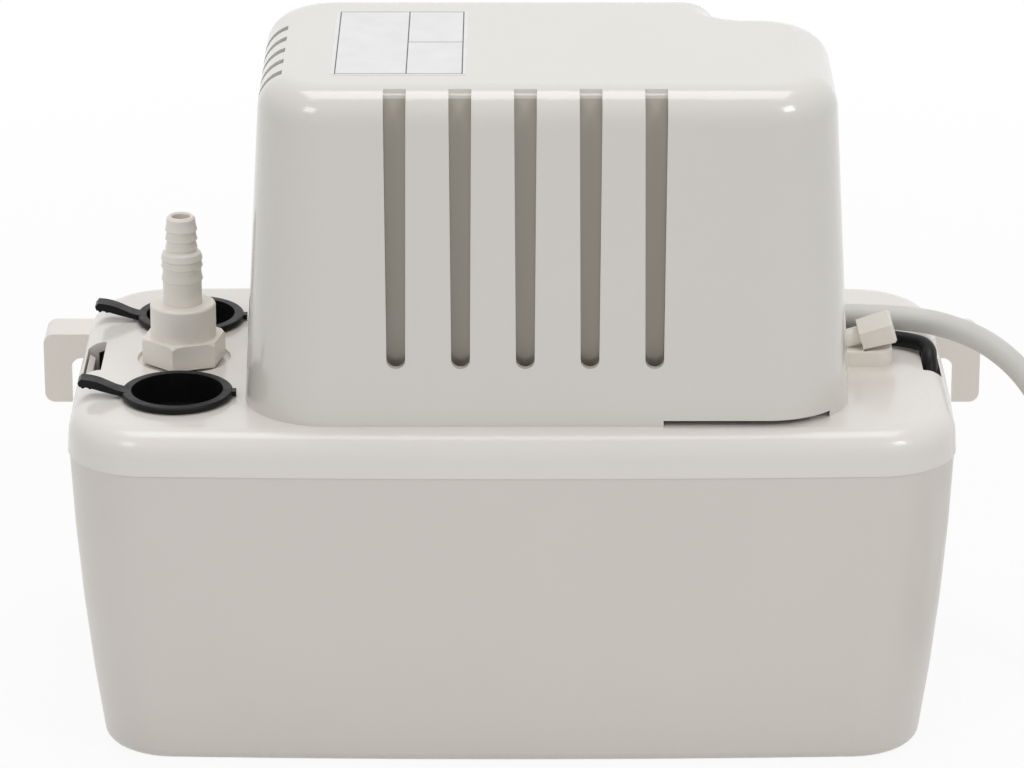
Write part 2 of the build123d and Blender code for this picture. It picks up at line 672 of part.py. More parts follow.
def make_core_bar():
    bar = Pos(0, LEG_REACH + CORE_BAR_DEEP / 2) * Rectangle(STACK_WIDE, CORE_BAR_DEEP)
    for x in (-STRAP_SCREW_X, STRAP_SCREW_X):
        bar -= Pos(x, LEG_REACH + CORE_BAR_DEEP / 2) * Circle(1.9 + SCREW_GAP)
    return about_shaft(extrude(bar, STACK), STACK_Z)


def coil_ring(inner_wall, outer_wall, x0, x1):
    """Rectangular sleeve about the core bar, between two distances from its faces."""
    middle_y = SHAFT_Y + LEG_REACH + CORE_BAR_DEEP / 2
    middle_z = STACK_Z + STACK / 2
    place = Plane(origin=(SHAFT_X + x0, middle_y, middle_z), x_dir=(0, 1, 0), z_dir=(1, 0, 0))
    outer = Rectangle(CORE_BAR_DEEP + 2 * outer_wall, STACK + 2 * outer_wall)
    outer = fillet(outer.vertices(), max(outer_wall * 0.6, 0.5))
    inner = Rectangle(CORE_BAR_DEEP + 2 * inner_wall, STACK + 2 * inner_wall)
    return extrude(place * (outer - inner), x1 - x0)


def make_bobbin():
    half = COIL_LONG / 2
    tube_wall = SEAT_GAP + BOBBIN_WALL
    bobbin = coil_ring(SEAT_GAP, tube_wall, -half, half)
    bobbin += coil_ring(SEAT_GAP, tube_wall + COIL_WALL, -half, -half + BOBBIN_WALL)
    return bobbin + coil_ring(SEAT_GAP, tube_wall + COIL_WALL, half - BOBBIN_WALL, half)


def make_winding():
    half = COIL_LONG / 2 - BOBBIN_WALL
    tube_wall = SEAT_GAP + BOBBIN_WALL
    return coil_ring(tube_wall, tube_wall + COIL_WALL - 0.8, -half, half)


def make_shading_rings():
    rings = []
    for x, y0, y1 in shading_places():
        outer = block(x - 1, x + 1, y0 - 1, y1 + 1, -2, STACK + 2)
        rings.append(about_shaft(outer - block(x - 2, x + 2, y0 + 1, y1 - 1, 0, STACK), STACK_Z))
    return Compound(children=rings)


def bearing_strap():
    """Hat-shaped strap below the stack, with a hub for the shaft bearing."""
    half = STACK_WIDE / 2
    profile = make_face(Polyline(
        (-half, 0), (-22, 0), (-18, STRAP_THICK - STRAP_RISE), (18, STRAP_THICK - STRAP_RISE),
        (22, 0), (half, 0), (half, -STRAP_THICK), (24, -STRAP_THICK), (20, -STRAP_RISE),
        (-20, -STRAP_RISE), (-24, -STRAP_THICK), (-half, -STRAP_THICK), close=True))
    strap = Pos(0, STRAP_WIDE / 2, 0) * extrude(Plane.XZ * profile, STRAP_WIDE)
    strap += cylinder(BEARING / 2 + 2.5, -STRAP_RISE - 4, -STRAP_RISE + 0.5)
    strap -= cylinder(BEARING / 2 + SHAFT_GAP, -STRAP_RISE - 5, 0)
    for x in (-STRAP_SCREW_X, STRAP_SCREW_X):
        strap -= cylinder(2.0 + SCREW_GAP, -STRAP_THICK - 1, 1, x, 0)
    return strap


def screw(head, head_high, shank, length):
    """Pan-head screw hanging down from Z = 0, its head above."""
    top = fillet(cylinder(head / 2, 0, head_high).edges().group_by(Axis.Z)[-1], head_high * 0.4)
    return top + cylinder(shank / 2, -length, 0.5)


def nut(across_corners, high, bore):
    return extrude(RegularPolygon(across_corners / 2, 6) - Circle(bore / 2), high)


lower_strap = bearing_strap()
save("stator_core", make_stator())
save("core_bar", make_core_bar())
save("bobbin", make_bobbin())
save("winding", make_winding())
save("shading_rings", make_shading_rings())
save("lower_bearing_strap", about_shaft(lower_strap, STACK_Z))
save("upper_bearing_strap", about_shaft(mirror(lower_strap, Plane.XY), STACK_Z + STACK))

bearing_foot = -STRAP_RISE - 4
bearings = [about_shaft(ring(BEARING, SHAFT + 2 * SHAFT_GAP, bearing_foot, bearing_foot + BEARING_LONG), STACK_Z),
            about_shaft(ring(BEARING, SHAFT + 2 * SHAFT_GAP, -bearing_foot - BEARING_LONG, -bearing_foot),
                        STACK_Z + STACK)]
save("shaft_bearings", Compound(children=bearings))

strap_screws = []
for x in (-STRAP_SCREW_X, STRAP_SCREW_X):
    long_screw = screw(7.0, 2.6, 4.0, STACK + 2 * STRAP_THICK + 5)
    strap_screws.append(about_shaft(Pos(x, 0, 0) * long_screw, STACK_Z + STACK + STRAP_THICK))
    strap_screws.append(about_shaft(Pos(x, 0, 0) * nut(8.0, 3.0, 4.0), STACK_Z - STRAP_THICK - 3.0))
save("strap_screws", Compound(children=strap_screws))
save("motor_bolts", Compound(children=[Pos(x, y, STACK_Z + STACK) * screw(7.0, 2.6, 3.8, STACK + 13)
                                       for x, y in motor_bolt_places()]))


# Rotor line: shaft, rotor, fan, slinger and impeller

def make_fan():
    fan = ring(FAN_HUB, SHAFT, 0, FAN_DEEP)
    for k in range(FAN_BLADES):
        blade = Rot(0, 0, 360 / FAN_BLADES * k) * Pos(FAN_RADIUS / 2 + 2, 0, FAN_DEEP / 2)
        fan += blade * Rot(32, 0, 0) * Box(FAN_RADIUS - 5, 17, 1.4)
    fan = fan & cylinder(FAN_RADIUS, 0.2, FAN_DEEP - 0.2)
    return about_shaft(fan - cylinder(SHAFT / 2, -1, FAN_DEEP + 1), LID_TOP + FAN_FOOT)


def make_impeller():
    disc_z = VOLUTE_TOP - 4.0
    foot = VOLUTE_Z + VOLUTE_FLOOR + 1.0
    blade = make_face(Curve() + [
        ThreePointArc((7.0, 0), (15.0, 3.2), (IMPELLER / 2 - 0.5, 11.0)),
        Line((IMPELLER / 2 - 0.5, 11.0), (IMPELLER / 2 - 2.0, 12.2)),
        ThreePointArc((IMPELLER / 2 - 2.0, 12.2), (14.0, 4.8), (6.4, 1.6)),
        Line((6.4, 1.6), (7.0, 0)),
    ])
    wheel = cylinder(IMPELLER / 2 + 2, disc_z, disc_z + 1.8) & cylinder(IMPELLER / 2, 0, 100)
    for k in range(IMPELLER_BLADES):
        wheel += Pos(0, 0, foot) * extrude(Rot(0, 0, 360 / IMPELLER_BLADES * k) * blade, disc_z - foot + 0.5)
    wheel = wheel & cylinder(IMPELLER / 2, 0, 100)
    wheel += cylinder(SHAFT / 2 + 3, foot, VOLUTE_TOP - 1.0)
    return about_shaft(wheel - cylinder(SHAFT / 2, foot + 2, 100))


shaft_foot = VOLUTE_Z + VOLUTE_FLOOR + 3.0
save("motor_shaft", cylinder(SHAFT / 2, shaft_foot, LID_TOP + FAN_FOOT + FAN_DEEP + 2, SHAFT_X, SHAFT_Y))
rotor = ring(ROTOR, SHAFT, -2.5, STACK + 2.5)
save("motor_rotor", about_shaft(chamfer(rotor.edges().filter_by(GeomType.CIRCLE).sort_by(SortBy.RADIUS)[-2:], 1.0),
                                STACK_Z))
save("cooling_fan", make_fan())
slinger = ring(20.0, SHAFT, 1.5, 3.0) + ring(11.0, SHAFT, 0.0, 5.0)
save("water_slinger", about_shaft(slinger, LID_TOP + 5.0))
save("impeller", make_impeller())


# Pump: column below the lid, volute, suction strainer and the hose to the check valve

def make_column():
    top = LID_UNDER
    foot = VOLUTE_TOP + VOLUTE_COVER
    outer_top, outer_foot = COLUMN_TOP / 2, COLUMN_FOOT / 2
    section = make_face(Polyline(
        (outer_top - COLUMN_WALL, top), (COLUMN_FLANGE / 2, top), (COLUMN_FLANGE / 2, top - COLUMN_PLATE),
        (outer_top + 1.5, top - COLUMN_PLATE), (outer_top, top - COLUMN_PLATE - 1.5),
        (outer_foot, foot + COLUMN_PLATE), (VOLUTE_OUTER / 2, foot + COLUMN_PLATE), (VOLUTE_OUTER / 2, foot),
        (outer_foot - COLUMN_WALL, foot), close=True))
    column = revolve(Plane.XZ * section, Axis.Z)
    for k in range(3):
        turn = Rot(0, 0, 90 + 120 * k)
        high = top - foot - 28
        window = extrude(SlotOverall(high, 13.0), 40)
        column -= turn * Pos(0, 0, (top + foot) / 2) * Rot(0, 90, 0) * window
    column = about_shaft(column)
    for x, y in column_screw_places():
        column -= cylinder(2.0 + SCREW_GAP, top - COLUMN_PLATE - 1, top + 1, x, y)
    return column


def make_volute():
    duct_z = VOLUTE_Z + VOLUTE_FLOOR + 4.75
    body = cylinder(VOLUTE_OUTER / 2, VOLUTE_Z, VOLUTE_TOP)
    duct = Pos(0, OUTLET_Y, duct_z) * Rot(0, -90, 0)
    body += duct * Cylinder(OUTLET_OD / 2, OUTLET_REACH, align=(Align.CENTER, Align.CENTER, Align.MIN))
    body -= cylinder(VOLUTE_CAVITY / 2, VOLUTE_Z + VOLUTE_FLOOR, VOLUTE_TOP + 1)
    body -= duct * Cylinder(OUTLET_BORE / 2, OUTLET_REACH + 1, align=(Align.CENTER, Align.CENTER, Align.MIN))
    body -= cylinder(EYE_BORE / 2, 0, VOLUTE_TOP)
    return about_shaft(body)


def make_strainer():
    foot = VOLUTE_Z - STRAINER_THICK
    plate = cylinder(STRAINER / 2, foot, VOLUTE_Z)
    for k in range(12):
        slot = Rot(0, 0, 30 * k) * Pos(15.0, 0, foot - 1) * extrude(SlotOverall(14.0, 2.6), STRAINER_THICK + 2)
        plate -= slot
    for k in range(3):
        leg = Rot(0, 0, 60 + 120 * k) * Pos(STRAINER / 2 - 2.5, 0, TANK_FLOOR + RUN_GAP)
        plate += leg * Cylinder(2.4, foot - TANK_FLOOR - RUN_GAP + 0.5, align=(Align.CENTER, Align.CENTER, Align.MIN))
    return about_shaft(plate)


def bend_radii(points):
    """Largest soft bend at each inner point of a route."""
    radii = []
    for before, here, after in zip(points, points[1:], points[2:]):
        run_in = Vector(here) - Vector(before)
        run_out = Vector(after) - Vector(here)
        half_turn = math.radians(run_in.get_angle(run_out)) / 2
        radii.append(0.45 * min(run_in.length, run_out.length) / math.tan(half_turn))
    return radii


def tube(points, diameter, bore=0.0):
    """Round tube or rod along straight runs joined by soft bends."""
    path = FilletPolyline(*points, radius=bend_radii(points))
    section = Circle(diameter / 2)
    if bore:
        section -= Circle(bore / 2)
    place = Plane(origin=path @ 0, z_dir=path % 0)
    return sweep(place * section, path=path)


save("pump_column", make_column())
save("volute_cover", ring(VOLUTE_OUTER, SHAFT + 2.0, VOLUTE_TOP, VOLUTE_TOP + VOLUTE_COVER, SHAFT_X, SHAFT_Y))
save("volute", make_volute())
save("inlet_strainer", make_strainer())

hose_bore = OUTLET_OD + SEAT_GAP
outlet_z = VOLUTE_Z + VOLUTE_FLOOR + 4.75
outlet_y = SHAFT_Y + OUTLET_Y
hose_route = [
    (SHAFT_X - OUTLET_REACH + 12.0, outlet_y, outlet_z),
    (SHAFT_X - OUTLET_REACH - 42.0, outlet_y, outlet_z),
    (INLET_X, INLET_ROW_Y, outlet_z + 24.0),
    (INLET_X, INLET_ROW_Y, LID_TOP - VALVE_SPIGOT_DROP + 9.0),
]
save("discharge_hose", tube(hose_route, hose_bore + 2 * HOSE_WALL, hose_bore))

column_screws = []
for x, y in column_screw_places():
    fixing = Pos(x, y, LID_UNDER - COLUMN_PLATE) * Rot(180, 0, 0) * screw(7.6, 2.4, 4.0, COLUMN_PLATE + LID_WALL + 4.0)
    column_screws.append(fixing)
    column_screws.append(Pos(x, y, LID_TOP) * nut(8.0, 3.0, 4.0))
save("column_screws", Compound(children=column_screws))


# Main float with its arm, pin and bracket, and the rod that it lifts

def make_float_bracket():
    half = CHEEK_GAP / 2
    bracket = block(PIVOT_X - 6.5, PIVOT_X + 5, -half - CHEEK, half + CHEEK, LID_UNDER - 3, LID_UNDER)
    for side in (-1, 1):
        cheek = Pos(0, side * (half + CHEEK / 2), 0) * block(
            PIVOT_X - 5, PIVOT_X + 5, -CHEEK / 2, CHEEK / 2, PIVOT_Z, LID_UNDER - 1)
        bracket += cheek
        bracket += Pos(PIVOT_X, side * (half + CHEEK / 2), PIVOT_Z) * Rot(90, 0, 0) * Cylinder(5, CHEEK)
    return bracket - Pos(PIVOT_X, 0, PIVOT_Z) * Rot(90, 0, 0) * Cylinder(PIN / 2 + SHAFT_GAP, 40)


def make_float_pin():
    half = CHEEK_GAP / 2 + CHEEK + RUN_GAP
    pin = Cylinder(PIN / 2, 2 * half + 2)
    pin += Pos(0, 0, half + 0.6) * Cylinder(PIN / 2 + 1, 1.2)
    pin += Pos(0, 0, -half - 0.6) * Cylinder(PIN / 2 + 1, 1.2)
    return Pos(PIVOT_X, 0, PIVOT_Z) * Rot(90, 0, 0) * pin


def at_pivot(shape, angle):
    """Turn a shape drawn along +X from the pivot to its angle above level."""
    return Pos(PIVOT_X, 0, PIVOT_Z) * Rot(0, -angle, 0) * shape


def make_float_arm():
    half = CHEEK_GAP / 2 - RUN_GAP
    stem_end = FLOAT_REACH - FLOAT_LONG / 2
    hub = Rot(90, 0, 0) * Cylinder(4.5, 2 * half)
    stem = block(2, stem_end - 1.5, -3, 3, -2.2, 2.2)
    stem += block(2, stem_end - 1.5, -0.9, 0.9, -3.0, 3.0)
    stem += block(stem_end - 2, stem_end, -8, 8, -6, 6)
    finger = block(2, FINGER, -2.5, 2.5, -1.6, 1.6)
    finger += Pos(FINGER, 0, 0) * Rot(90, 0, 0) * Cylinder(2.5, 5)
    arm = hub + stem + Rot(0, FLOAT_REST - FINGER_REST, 0) * finger
    arm -= Rot(90, 0, 0) * Cylinder(PIN / 2 + SHAFT_GAP, 40)
    return at_pivot(arm, FLOAT_REST)


def make_float():
    body = Pos(FLOAT_REACH, 0, 0) * Box(FLOAT_LONG, FLOAT_WIDE, FLOAT_HIGH)
    body = fillet(body.edges().filter_by(Axis.Y), 6.0)
    body = fillet(body.edges().group_by(Axis.Y)[0] + body.edges().group_by(Axis.Y)[-1], 2.0)
    return at_pivot(body, FLOAT_REST)


rod_x = PIVOT_X + FINGER * math.cos(math.radians(FINGER_REST))
rod_foot = PIVOT_Z + FINGER * math.sin(math.radians(FINGER_REST)) + 2.5 + RUN_GAP
lever_swing = 2 * FINGER * math.sin(math.radians(-FINGER_REST)) / LEVER
lever_rest = math.degrees(lever_swing) / 2
lever_z = LID_TOP + LEVER_PIVOT_Z
nose_radius = 2.0
rod_top = lever_z - LEVER * math.sin(math.radians(lever_rest)) - nose_radius - RUN_GAP

save("float_bracket", make_float_bracket())
save("float_pin", make_float_pin())
save("float_arm", make_float_arm())
save("float", make_float())
save("float_rod", cylinder(ROD / 2, rod_foot, rod_top, rod_x, 0) + cylinder(3.4, rod_foot, rod_foot + 2, rod_x, 0))


# Microswitch above the rod, with its lever, plunger, terminals and bracket

lever_x = rod_x + LEVER
switch_left = lever_x - LEVER - 2.5
switch_foot = lever_z + LEVER * math.sin(math.radians(lever_rest)) + nose_radius + RUN_GAP
switch_middle = switch_left + SWITCH_LONG / 2


def make_switch_body():
    half = SWITCH_WIDE / 2
    body = block(switch_left, switch_left + SWITCH_LONG, -half, half, switch_foot, switch_foot + SWITCH_HIGH)
    body = fillet(body.edges().filter_by(Axis.Y), 1.0)
    for side in (-1, 1):
        y0, y1 = sorted((side * 2.7, side * 4.3))
        body += block(lever_x - 1.8, lever_x + 1.8, y0, y1, lever_z - 1.8, switch_foot + 1)
    body += Pos(lever_x, 0, lever_z) * Rot(90, 0, 0) * Cylinder(0.8, 7)
    body -= cylinder(PLUNGER / 2 + 0.1, switch_foot - 1, switch_foot + 9, lever_x - PLUNGER_ARM, 0)
    for side in (-1, 1):
        hole = Pos(switch_middle + side * SWITCH_HOLE_PITCH / 2, 0, switch_foot + SWITCH_HIGH / 2)
        body -= hole * Rot(90, 0, 0) * Cylinder(1.5 + SHAFT_GAP, 30)
    return body


def make_lever():
    lever = block(-LEVER, -1, -2.2, 2.2, -0.4, 0.4)
    lever += Rot(90, 0, 0) * Cylinder(1.7, 4.4)
    lever += Pos(-LEVER, 0, 0) * Rot(90, 0, 0) * Cylinder(nose_radius, 4.4)
    lever -= Rot(90, 0, 0) * Cylinder(0.8 + SHAFT_GAP, 10)
    return Pos(lever_x, 0, lever_z) * Rot(0, -lever_rest, 0) * lever


def make_switch_bracket():
    face = -SWITCH_WIDE / 2
    plate = block(switch_left - 2, switch_left + SWITCH_LONG + 2, face - 2.5, face, LID_TOP, switch_foot + SWITCH_HIGH)
    plate += block(switch_left, switch_left + SWITCH_LONG, face - 15, face - 2, LID_TOP, LID_TOP + 2.5)
    for side in (-1, 1):
        x = switch_middle + side * SWITCH_HOLE_PITCH / 2
        hole = Pos(x, 0, switch_foot + SWITCH_HIGH / 2) * Rot(90, 0, 0) * Cylinder(1.5 + SHAFT_GAP, 30)
        plate -= hole
        plate -= cylinder(1.8, LID_TOP - 1, LID_TOP + 4, switch_middle + side * 8, face - 9)
    return plate


def make_switch_screws():
    screws = []
    for side in (-1, 1):
        x = switch_middle + side * SWITCH_HOLE_PITCH / 2
        place = Pos(x, SWITCH_WIDE / 2, switch_foot + SWITCH_HIGH / 2) * Rot(-90, 0, 0)
        screws.append(place * screw(5.4, 2.0, 3.0, SWITCH_WIDE + 2.0))
        screws.append(Pos(switch_middle + side * 8, -SWITCH_WIDE / 2 - 9, LID_TOP + 2.5) * screw(6.0, 2.0, 3.4, 2.3))
    return Compound(children=screws)


plunger_foot = lever_z - PLUNGER_ARM * math.sin(math.radians(lever_rest)) + 0.4 + RUN_GAP
save("switch_body", make_switch_body())
save("switch_lever", make_lever())
save("switch_plunger", cylinder(PLUNGER / 2, plunger_foot, switch_foot + 6, lever_x - PLUNGER_ARM, 0))
save("switch_bracket", make_switch_bracket())
save("switch_screws", make_switch_screws())
terminal_z = switch_foot + SWITCH_HIGH
save("switch_terminals", Compound(children=[
    block(switch_middle + dx - 0.4, switch_middle + dx + 0.4, -3.1, 3.1, terminal_z, terminal_z + 8)
    for dx in (-9.0, 0.0, 9.0)]))


# Safety float: a ring that rides on a stem below its bracket

def make_safety_bracket():
    x, y = SAFETY_X, SAFETY_Y
    bracket = block(x - 9, x + 7, y - 8, y + 8, SAFETY_PLATE_Z, SAFETY_PLATE_Z + SAFETY_PLATE)
    bracket += block(x - 11, x - 8.5, y - 8, y + 8, SAFETY_PLATE_Z, LID_UNDER)
    bracket += block(x - 14, x + 2, y - 8, y + 8, LID_UNDER - SAFETY_PLATE, LID_UNDER)
    bracket -= cylinder(ALARM_LEAD / 2 + 1, SAFETY_PLATE_Z + SAFETY_PLATE, LID_UNDER + 1, x, y)
    return bracket - cylinder(SAFETY_STEM / 2 + SHAFT_GAP, 0, 100, x, y)


def make_safety_stem():
    top = SAFETY_PLATE_Z + SAFETY_PLATE
    foot = SAFETY_PLATE_Z - SAFETY_STEM_LONG
    stem = cylinder(SAFETY_STEM / 2, foot, top + 1)
    stem += Pos(0, 0, top) * extrude(RegularPolygon(SAFETY_NUT / 2, 6), 4.5)
    stem += ring(SAFETY_STEM + 4.0, SAFETY_STEM - 1, foot + STOP_FOOT, foot + STOP_TOP)
    stem += Pos(0, 0, SAFETY_PLATE_Z - 4.0) * extrude(RegularPolygon(SAFETY_NUT / 2, 6) - Circle(3.5), 4.0)
    return Pos(SAFETY_X, SAFETY_Y, 0) * stem


ring_foot = SAFETY_PLATE_Z - SAFETY_STEM_LONG + STOP_TOP + RUN_GAP
ring_float = ring(SAFETY_RING, SAFETY_STEM + 2 * RUN_GAP, ring_foot, ring_foot + SAFETY_RING_HIGH)
ring_float = fillet(ring_float.edges().filter_by(GeomType.CIRCLE).sort_by(SortBy.RADIUS)[-2:], 2.0)
save("safety_bracket", make_safety_bracket())
save("safety_stem", make_safety_stem())
save("safety_ring_float", Pos(SAFETY_X, SAFETY_Y, 0) * ring_float)

alarm_z = LID_TOP + ALARM_LEAD / 2 + RUN_GAP
alarm_route = [
    (TERMINALS_RIGHT, ALARM_Y, alarm_z),
    (113.0, ALARM_Y, alarm_z),
    (126.0, 8.5, alarm_z),
    (134.2, 1.6, alarm_z + 0.3),
    (134.0, -7.0, LID_TOP - 0.5),
    (134.0, -9.2, LID_TOP - 10.0),
    (124.0, -22.0, LID_TOP - 14.0),
    (114.5, -38.0, LID_TOP - 10.0),
    (SAFETY_X, SAFETY_Y, LID_TOP - 19.0),
    (SAFETY_X, SAFETY_Y, SAFETY_PLATE_Z + SAFETY_PLATE + 4.5),
]
print("alarm lead radii", [round(r, 1) for r in bend_radii(alarm_route)])
save("alarm_lead", tube(alarm_route, ALARM_LEAD))


# Gland at the right of the cover, with its capped nut

def make_gland_block():
    base = block(GLAND_LEFT, GLAND_RIGHT, GLAND_FRONT, GLAND_REAR, LID_TOP, LID_TOP + GLAND_HIGH)
    base = fillet(base.edges().filter_by(Axis.Z).sort_by(Axis.X)[-2:], 5.0)
    base = fillet(base.edges().group_by(Axis.Z)[-1], 0.8)
    base -= gland_axis() * Cylinder(GLAND_NUT / 2 + RUN_GAP, 20.0, align=LOW_END)
    neck = gland_axis() * Cylinder(GLAND_NECK / 2, 14.0, align=(Align.CENTER, Align.CENTER, Align.MAX))
    return base + neck


def gland_axis():
    """Place on the gland's tilted axis where the nut starts."""
    return Pos(111.5, GLAND_NECK_Y, LID_TOP + 8.9) * Rot(0, 90 - GLAND_TILT, 0)


def make_gland_nut():
    small = gland_axis() * RegularPolygon(GLAND_NUT / 2 - 0.5, 6, rotation=8)
    large = gland_axis() * Pos(0, 0, GLAND_NUT_LONG) * RegularPolygon(GLAND_NUT / 2 + 0.1, 6, rotation=8)
    body = loft([small, large], ruled=True)
    return chamfer(body.faces().sort_by(Axis.X)[-1].edges(), 0.7)


save("gland_block", make_gland_block())
save("gland_nut", make_gland_nut())


# Terminal block, cord clamp, bushing and leads inside the cover

def make_clamp():
    middle = CLAMP_X
    clamp = block(middle - 4, middle + 4, CORD_Y - 4.8, CORD_Y + 10.4, LID_TOP, CLAMP_TOP)
    clamp = fillet(clamp.edges().filter_by(Axis.X).group_by(Axis.Z)[-1], 2.0)
    clamp -= Pos(middle, CORD_Y, LID_TOP + CORD_RISE) * Rot(0, 90, 0) * Cylinder(CORD / 2 + 0.05, 20)
    return clamp - cylinder(1.5 + SHAFT_GAP, LID_TOP - 1, CLAMP_TOP + 1, middle, CLAMP_SCREW_Y)


def make_bushing():
    radius = CORD / 2 + BUSHING_WALL
    bushing = block(BUSHING_X, COVER_RIGHT, CORD_Y - radius, CORD_Y + radius, LID_TOP, LID_TOP + CORD_RISE)
    centre = Pos((BUSHING_X + COVER_RIGHT) / 2, CORD_Y, LID_TOP + CORD_RISE) * Rot(0, 90, 0)
    bushing += centre * Cylinder(radius, COVER_RIGHT - BUSHING_X)
    return bushing - centre * Cylinder(CORD / 2 + 0.05, 20)


terminals = block(TERMINALS_RIGHT - 20, TERMINALS_RIGHT, 7.0, 25.0, LID_TOP, LID_TOP + 12.0)
terminals = fillet(terminals.edges().filter_by(Axis.Z), 1.2)
for y in (10.5, 16.0, 21.5):
    terminals -= cylinder(1.6, LID_TOP + 7, LID_TOP + 13, TERMINALS_RIGHT - 14, y)
    terminals -= cylinder(1.6, LID_TOP + 7, LID_TOP + 13, TERMINALS_RIGHT - 6, y)
save("terminal_block", terminals)
save("cord_clamp", make_clamp())
save("clamp_screw", Pos(CLAMP_X, CLAMP_SCREW_Y, CLAMP_TOP) * screw(5.4, 2.2, 3.0, CLAMP_TOP - LID_TOP - 0.2))
save("cord_bushing", make_bushing())
tail_middle = Pos((TERMINALS_RIGHT + COVER_RIGHT) / 2, CORD_Y, LID_TOP + CORD_RISE) * Rot(0, 90, 0)
save("cord_inner_end", tail_middle * Cylinder(CORD / 2, COVER_RIGHT - TERMINALS_RIGHT))

switch_lead = tube([(64.0, 16.0, LID_TOP + 7), (64.0, 16.0, LID_TOP + 34), (66.0, 9.0, terminal_z + 17),
                    (switch_middle, 0.0, terminal_z + 19), (switch_middle, 0.0, terminal_z + 8)], 2.2)
coil_top = STACK_Z + STACK + SEAT_GAP + BOBBIN_WALL + COIL_WALL - 0.8
winding_y = SHAFT_Y + LEG_REACH + CORE_BAR_DEEP / 2
winding_lead = tube([(64.0, 21.5, LID_TOP + 7), (64.0, 21.5, LID_TOP + 36), (54.0, 26.0, coil_top + 6),
                     (34.0, winding_y, coil_top + 9), (8.0, winding_y, coil_top + 11), (8.0, winding_y, coil_top)],
                    2.2)
save("inner_leads", Compound(children=[switch_lead, winding_lead]))

cover_screws = []
for x, y in cover_boss_places():
    cover_screws.append(Pos(x, y, LID_UNDER) * Rot(180, 0, 0) * screw(7.0, 2.4, 3.6, LID_WALL + 13.0))
save("cover_screws", Compound(children=cover_screws))


# Mains cord: from the bushing over the lid's right shoulder, down to a coil, then the plug

cord_z = LID_TOP + CORD_RISE
floor_z = CORD / 2
upper_z = floor_z + COIL_LEVEL_PITCH
outer_turn = COIL_MEAN_RADIUS + COIL_SIDE_PITCH
stub = math.sqrt((outer_turn + CORD) ** 2 - outer_turn ** 2) + 3.0
lead_x = math.sin(math.radians(COIL_LEAD_IN))
lead_y = math.cos(math.radians(COIL_LEAD_IN))
coil_entry = (COIL_X - outer_turn, COIL_Y + stub, floor_z)
coil_exit = (COIL_X + outer_turn, COIL_Y + stub, upper_z)
plug_z = PLUG_BODY / 2
plug_root = (coil_exit[0] + 3.6, coil_exit[1] + 52.5, plug_z)
cord_route = [
    (COVER_RIGHT, CORD_Y, cord_z),
    (129.0, CORD_Y, cord_z),
    (148.8, 18.8, 115.3),
    (161.8, 17.5, 107.1),
    (171.8, 15.1, 95.5),
    (177.6, 11.9, 81.6),
    (179.9, 6.2, 58.4),
    (182.7, 0.3, 32.8),
    (184.5, -8.5, 19.2),
    (186.7, -21.1, 9.3),
    (coil_entry[0] - 16.0 * lead_x, coil_entry[1] + 16.0 * lead_y, floor_z),
    coil_entry,
]
end_route = [
    coil_exit,
    (coil_exit[0] + 16.5 * lead_x, coil_exit[1] + 16.5 * lead_y, upper_z),
    (plug_root[0], coil_exit[1] + 36.0, plug_z),
    plug_root,
]
print("cord radii", [round(r, 1) for r in bend_radii(cord_route)])
print("cord end radii", [round(r, 1) for r in bend_radii(end_route)])


def make_coil():
    """Wound cord as one body: turns side by side on two levels, with a straight stub at each end."""
    section = Pos(COIL_MEAN_RADIUS, (floor_z + upper_z) / 2) * Rectangle(2 * COIL_SIDE_PITCH, COIL_LEVEL_PITCH)
    for z in (floor_z, upper_z):
        for side in (-1, 0, 1):
            section += Pos(COIL_MEAN_RADIUS + side * COIL_SIDE_PITCH, z) * Circle(CORD / 2)
    coil = Pos(COIL_X, COIL_Y, 0) * revolve(Plane.XZ * section, Axis.Z)
    straight = Pos(0, 0, 0.1) * Cylinder(CORD / 2, stub + 3.0, align=LOW_END)
    coil += Plane(origin=coil_entry, z_dir=(lead_x, -lead_y, COIL_LEAD_TILT)) * straight
    return coil + Plane(origin=coil_exit, z_dir=(-lead_x, -lead_y, -COIL_LEAD_TILT)) * straight


